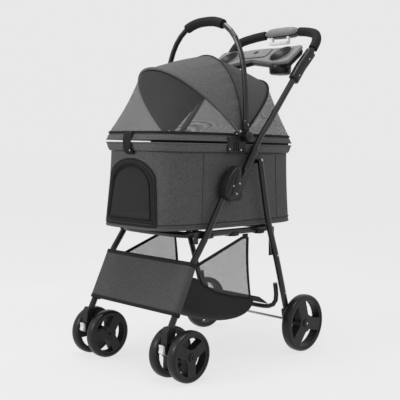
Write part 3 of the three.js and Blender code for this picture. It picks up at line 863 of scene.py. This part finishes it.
def basket_pouch():
    """The dark cloth floor: a trough between the side nets with a closed, rounded back."""
    stations = [
        (-270, 196, 190), (-240, 236, 178), (-205, 290, 167), (-155, 250, 147), (-103, 221, 131), (-60, 209,
                                                                                                   120),
        (-20, 198, 114.5), (20, 189, 115), (45, 184, 122), (60, 182, 133), (68, 181, 150), (70, 180, 170),
    ]
    rows = []
    for y, top, bottom in stations:
        row = []
        for k in range(61):
            turn = math.pi * k / 60
            c, s = math.cos(turn), math.sin(turn)
            x = 158 * math.copysign(abs(c) ** 0.35, c)
            sag = 3.0 * math.sin(math.pi * (y + 270) / 340) * s ** 2
            z = top - (top - bottom - 3 + sag) * s ** 0.35
            row.append(at(x, y, z))
        rows.append(row)
    pouch = skin("basket_pouch", rows, pouch_cloth, "front_frame", closed=False)
    modified(pouch, "SUBSURF", levels=1, render_levels=1)
    modified(pouch, "SOLIDIFY", thickness=0.0015)
    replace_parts(applied(pouch), "basket_bag")
    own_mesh(pouch)
    flap = skin("basket_flap", [[at(x, y, z) for x in range(-140, 141, 20)] for y, z in
                                ((68, 181), (92, 180), (116, 176), (138, 163), (158, 150))],
                pouch_cloth, "front_frame", closed=False)
    modified(flap, "SOLIDIFY", thickness=0.0015)
    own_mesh(applied(flap))


# ---------------------------------------------------------------- moulded pieces


def dome(name, outline, x, rise, body, look):
    """A domed cover over a side outline given in millimetres, on the outside of both frames' faces."""
    smooth = spaced([at(0, y, z) for y, z in outline], 72, closed=True)
    centre = sum(smooth, Vector()) / len(smooth)
    for side, sign in SIDES:
        rows = []
        for scale, out in ((1.0, 0.0), (0.985, 0.35), (0.94, 0.7), (0.85, 0.92), (0.6, 1.0), (0.3, 1.0)):
            rows.append([Vector((sign * (x + rise * out), 0,
                                 0)) + centre + (p - centre) * scale for p in smooth])
        skin(f"{name}_{side}", rows, look, body, caps=True)


def covers():
    """Domed covers and ribs on the fold joints and the rim hinges, as moulded in black plastic."""
    housing = [(-86, 485), (-70, 486), (-56, 488), (-42, 500), (-40, 520), (-38, 545), (-36, 572), (-44, 581),
               (-56, 579), (-73, 566), (-90, 546), (-101, 520), (-104, 498)]
    dome("housing_cover", housing, 0.1898, 0.0055, "front_frame", black_plastic)
    hinge_plate = [(-67, 661), (-67, 628), (-59, 619), (1, 619), (7, 627), (12, 660), (8, 672), (-8, 676),
                   (-20, 666)]
    dome("hinge_cover", hinge_plate, 0.1642, 0.0012, "carrier", black_plastic)
    for name, sign in SIDES:
        for k, (bottom, top) in enumerate((((-92, 516), (-62, 572)), ((-80, 498), (-50, 574)))):
            rib = [at(sign * 195.4, *bottom),
                   at(sign * 195.8, (bottom[0] + top[0]) / 2, (bottom[1] + top[1]) / 2),
                   at(sign * 195.2, *top)]
            sweep(f"housing_rib_{k}_{name}", smooth_path(rib, 14), black_plastic, "front_frame",
                  (0.0012, 0.0016), up=(1, 0, 0))
        for k, (y, z) in enumerate(((-58, 628), (-10, 626))):
            rivet(f"hinge_rivet_{name}_{k}", at(sign * 165.4, y, z), Vector((sign, 0, 0)), 0.0032, "carrier")
        for k, y in enumerate((-40, -31, -22)):
            rib = [at(sign * 166, y, z) for z in (624, 634, 644, 654)]
            sweep(f"hinge_rib_{name}_{k}", rib, black_plastic, "carrier", (0.0016, 0.0022),
                  up=(1, 0, 0))
        rows = []
        for out, rise in ((1.0, 0.0), (1.0, 0.004), (0.9, 0.0065), (0.6, 0.0075), (0.2, 0.0078)):
            rows.append([hinge + Vector((sign * (0.184 + rise), 0.0150 * out * math.cos(a),
                                         0.0150 * out * math.sin(a)))
                         for a in np.linspace(0, 2 * math.pi, 40, endpoint=False)])
        skin(f"arch_knob_{name}", rows, black_plastic, "carrier", caps=True)
        sleeve = [at(sign * x, 0, z) for x, z in ((173, 681), (172.5, 690), (172, 702), (171.5, 712))]
        sweep(f"arch_sleeve_{name}", sleeve, black_plastic, "carry_handle", (0.0100, 0.0105),
              up=(0, 1, 0), sides=20)
        rivet(f"arch_rivet_{name}", at(sign * 181.5, 0, 700), Vector((sign, 0, 0)), 0.0026, "carry_handle")


def console_pod():
    """The egg-shaped release pod: a grey shell over a black underside."""
    low, high = corners("console")
    middle = (low + high) / 2
    half = (high - low) / 2
    for name, start, end, look, slot in (
        ("pod_top", -0.7, math.pi + 0.7, grey_plastic, "grey_plastic"),
        ("pod_base", math.pi + 0.66, 2 * math.pi - 0.66, black_plastic, "black_plastic"),
    ):
        rows = []
        for i in range(33):
            place = math.sin(math.pi * (i / 32 - 0.5))
            size = max(0.02, 1 - abs(place) ** 3.2) ** 0.42 * 0.62 + 0.38 * (1 - abs(place) ** 9)
            size = max(0.40, size)
            row = []
            for turn in np.linspace(start, end, 36):
                c, t = math.cos(turn), math.sin(turn)
                y = half.y * size * math.copysign(abs(c) ** 0.8, c)
                z = half.z * size * math.copysign(abs(t) ** 0.85, t)
                row.append(Vector((place * half.x, middle.y + y, middle.z + z)))
            rows.append(row)
        pod = skin(name, rows, look, "handle_frame", closed=True, caps=True)
        if name == "pod_top":
            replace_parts(pod, "console")


def tray_place(x, u, h):
    """A point on the tray: across, up its slope from the front edge, and off its top, in millimetres."""
    slope = math.radians(35.9)
    return at(x, 190 + u * math.cos(slope) - h * math.sin(slope),
              902 + u * math.sin(slope) + h * math.cos(slope))


def tray_ring(inset, h, dip, count=160):
    """A closed ring round the tray's top, drawn in by an inset. The front edge bows back in the middle."""
    ring = []
    for k in range(count * 3):
        turn = 2 * math.pi * k / (count * 3)
        c, s = math.cos(turn), math.sin(turn)
        x = (168 - inset) * math.copysign(abs(c) ** 0.16, c)
        v = math.copysign(abs(s) ** 0.16, s)
        front = inset - 3 + 2 * dip * math.exp(-(x / 78) ** 4)
        back = 93 - inset + 10 * (abs(x) / 168) ** 6
        ring.append(tray_place(x, front + (back - front) * (v + 1) / 2, h))
    return spaced(ring, count, closed=True)


def tray_shell():
    """The grey tray top with its two cup wells, the black skirt under it and its cup pockets."""
    rings = [tray_ring(i, h, 16) for i, h in ((9, 0.6), (4, 1.2), (1, 0.2), (0, -2), (0.5, -8), (3, -12))]
    top = skin("tray_top", rings, grey_plastic, "handle_frame", caps=True)
    cutters = []
    for x in (-112, 112):
        rows = [[at(x + 35 * math.cos(a), 228 + 35 * math.sin(a), z) for a in np.linspace(0, 2 * math.pi, 48,
                                                                                          False)]
                for z in (800, 1000)]
        well = skin(f"well_cutter_{x}", rows, grey_plastic, "handle_frame", caps=True)
        modified(top, "BOOLEAN", operation="DIFFERENCE", object=well, solver="EXACT")
        cutters.append(well)
    applied(top)
    for cutter in cutters:
        bpy.data.objects.remove(cutter)
    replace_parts(top, "tray")
    skirt_rings = [tray_ring(i, h, 17) for i, h in ((2.5, -10.5), (3, -20), (6, -27), (12, -29))]
    skirt_rings += [tray_ring(i, h, 17) for i, h in ((13, -27), (8, -25), (6, -12))]
    skin("tray_skirt", skirt_rings, black_plastic, "handle_frame", closed=True)
    for name, x in (("left", 112), ("right", -112)):
        rows = []
        for radius, low, top_share in ((35.4, 0, 1), (35.2, 0, 0.5), (33.5, 4, 0), (30, 0, 0), (2, 0, 0)):
            row = []
            for a in np.linspace(0, 2 * math.pi, 60, False):
                y = 228 + radius * math.sin(a)
                brim = 902 + (y - 190) * math.tan(math.radians(35.9)) + 1.2
                z = 866 + low + (brim - 866) * top_share
                row.append(at(x + radius * math.cos(a), y, z))
            rows.append(row)
        cup = skin(f"cup_well_{name}", rows, black_plastic, "handle_frame")
        modified(cup, "SOLIDIFY", thickness=0.002, offset=1)
        applied(cup)
        rim = [rows[0][k] + Vector((0, 0, 0.0006)) for k in range(60)]
        sweep(f"cup_lip_{name}", rim, grey_plastic, "handle_frame", (0.0016, 0.0014),
              closed=True)
        sign = math.copysign(1, x)
        path = [at(sign * 175, y, z) for y, z in ((216, 846), (226, 858), (250, 887), (276, 913), (300, 937))]
        sweep(f"tray_clamp_{name}", smooth_path(path, 30), black_plastic, "handle_frame",
              (0.0125, 0.0175), up=(0, 1, 0), sides=28, power=3)
        for u in (0.15, 0.75):
            spot = path[0].lerp(path[-1], u)
            rivet(f"tray_screw_{name}_{u}", spot + Vector((sign * 0.0128, 0, 0)), Vector((sign, 0, 0)),
                  0.0028,
                  "handle_frame")


def tray_cover():
    """The raised lid between the cups, with a black dish as its finger hole: painted shade where the hole is
    dark inside.
    """
    rings = []
    for inset, h in ((7, 4.2), (2.5, 3.4), (0, 1.4), (0, -1)):
        ring = []
        for k in range(96):
            turn = 2 * math.pi * k / 96
            c, s = math.cos(turn), math.sin(turn)
            x = (57 - inset) * math.copysign(abs(c) ** 0.35, c)
            front = 36 + inset
            back = 90 - inset
            ring.append(tray_place(x, (front + back) / 2 + (back - front) / 2 * math.copysign(abs(s) ** 0.35,
                                                                                              s), h))
        rings.append(ring)
    lid = skin("lid_shell", rings, grey_plastic, "tray_lid", caps=True)
    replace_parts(lid, "tray_lid")
    # The finger hole is not cut: a shallow black dish on the lid stands for it as painted shade.
    hole = [[tray_place(r * math.cos(a), 66 + r * math.sin(a), h) for a in np.linspace(0, 2 * math.pi, 32,
                                                                                       False)]
            for r, h in ((9.5, 4.0), (9.0, 4.7), (7.5, 4.7), (6.5, 4.25))]
    skin("lid_finger_hole_painted_shade", hole, black_plastic, "tray_lid", caps=True)
    edge = spaced(rings[2], 96, closed=True)
    sweep("lid_gap", edge, black_plastic, "tray_lid", (0.0012, 0.0012), closed=True)


def seat_clips():
    """Black clips and a strap under the seat tube that the carrier's base locks into."""
    for name, sign in SIDES:
        for k, y in enumerate((-128, -20, 96)):
            path = [at(sign * 148, y - 13, 383), at(sign * 148, y, 382), at(sign * 148, y + 13, 383)]
            sweep(f"seat_clip_{name}_{k}", path, black_plastic, "seat_frame",
                  (0.0125, 0.0075),
                  sides=20, power=5)
    strap = [at(x, -20, 375.5) for x in range(-148, 149, 37)]
    sweep("seat_strap", strap, tape, "seat_frame", (0.014, 0.0012), power=5)


def hub_caps():
    for name, sign in SIDES:
        rear_low, rear_high = corners(f"rear_rim_{name}")
        middle = (rear_low + rear_high) / 2
        reach = max(abs(rear_low.x), abs(rear_high.x))
        rivet_like(f"hub_rear_{name}", Vector((sign * reach, middle.y, middle.z)), sign, 0.013,
                   f"rear_wheel_{name}")
        low, high = corners(f"front_rim_{name}_outer")
        middle = (low + high) / 2
        reach = max(abs(low.x), abs(high.x))
        rivet_like(f"hub_front_{name}", Vector((sign * reach, middle.y, middle.z)), sign, 0.011,
                   f"front_wheel_{name}_outer")


def rivet_like(name, spot, sign, radius, body):
    """A round black hub cap on a wheel's outer face."""
    rows = []
    for out, rise in ((1.0, -0.3), (1.0, 0.25), (0.88, 0.36), (0.55, 0.40), (0.5, 0.30), (0.1, 0.30)):
        rows.append([spot + Vector((sign * radius * rise, radius * out * math.cos(a),
                                    radius * out * math.sin(a)))
                     for a in np.linspace(0, 2 * math.pi, 36, False)])
    skin(name, rows, wheel_plastic, body, caps=True)


# ---------------------------------------------------------------- stage


def set_camera():
    """The photograph's view: a long lens, level with the handle side of the carrier."""
    azimuth, elevation, roll = math.radians(44.46), math.radians(3.85), math.radians(0.99)
    back = Vector((math.sin(azimuth) * math.cos(elevation), -math.cos(azimuth) * math.cos(elevation),
                   math.sin(elevation)))
    right = Vector((math.cos(azimuth), math.sin(azimuth), 0))
    up = back.cross(right)
    rolled_right = right * math.cos(roll) + up * math.sin(roll)
    rolled_up = up * math.cos(roll) - right * math.sin(roll)
    turn = Matrix((rolled_right, rolled_up, back)).transposed().to_4x4()
    data = bpy.data.cameras.new("camera")
    data.sensor_width = 36
    data.lens = 68.44
    data.clip_end = 50
    camera = link(bpy.data.objects.new("camera", data))
    camera.matrix_world = Matrix.Translation((1.632, hinge.y - 1.672, 0.628)) @ turn
    bpy.context.scene.camera = camera


def soft_light(name, place, aim, size, power):
    data = bpy.data.lights.new(name, "AREA")
    data.size = size
    data.energy = power
    lamp = link(bpy.data.objects.new(name, data))
    lamp.location = place
    lamp.rotation_euler = (Vector(aim) - Vector(place)).to_track_quat("-Z", "Y").to_euler()


def set_stage():
    world = bpy.data.worlds.new("studio")
    world.use_nodes = True
    world.node_tree.nodes["Background"].inputs["Color"].default_value = (0.807, 0.807, 0.807, 1)
    world.node_tree.nodes["Background"].inputs["Strength"].default_value = 1.0
    bpy.context.scene.world = world
    bpy.context.scene.view_settings.view_transform = "Standard"
    floor_look, tree, surface = shader("floor", 1.0, specular=0.0)
    tree.links.new(ramp(tree, noise(tree, 2), grey(0.095), grey(0.105)), surface.inputs["Base Color"])
    surface.inputs["Emission Color"].default_value = (0.72, 0.72, 0.72, 1)
    surface.inputs["Emission Strength"].default_value = 1.0
    mesh = bpy.data.meshes.new("floor")
    mesh.from_pydata([(-40, -40, 0), (40, -40, 0), (40, 40, 0), (-40, 40, 0)], [], [(0, 1, 2, 3)])
    mesh.materials.append(floor_look)
    link(bpy.data.objects.new("floor", mesh))
    soft_light("key", (-0.9, -3.0, 1.9), (0, 0, 0.5), 0.9, 42)
    soft_light("top", (0.1, -0.4, 3.0), (0, 0, 0.5), 1.0, 34)


set_camera()
finish_nodes()
carrier_wall()
front_door()
base_trim()
side_seams()
rim_band("body_collar", "body_rim", True)
rim_band("canopy_collar", "canopy_rim", False)
# Painted shade in the rear half of the gap between the rims.
rim_gap_painted_shade()
rim_zip()
front_strap()
cushion()
hood()
# The front hem is in the hood's lighter cloth, painted light from above.
bow_hem("front_bow_hem", front_bow, "canopy_front", 0.0002, hood_cloth_painted_light, (0.0044, 0.0044))
bow_hem("front_bow_piping", front_bow, "canopy_front", -0.0042, tape, (0.0022, 0.0022))
bow_hem("rear_bow_hem", rear_bow, "carrier", 0.0002, tape, (0.0042, 0.0042))
canopy_side("front_net", front_bow, "canopy_front", "canopy_front_mesh", -1)
canopy_side("rear_net", rear_bow, "carrier", "canopy_rear_mesh", 1)
rivets()
wheels()
basket_panel()
basket_sides()
basket_pouch()
covers()
console_pod()
tray_shell()
tray_cover()
seat_clips()
hub_caps()
set_stage()
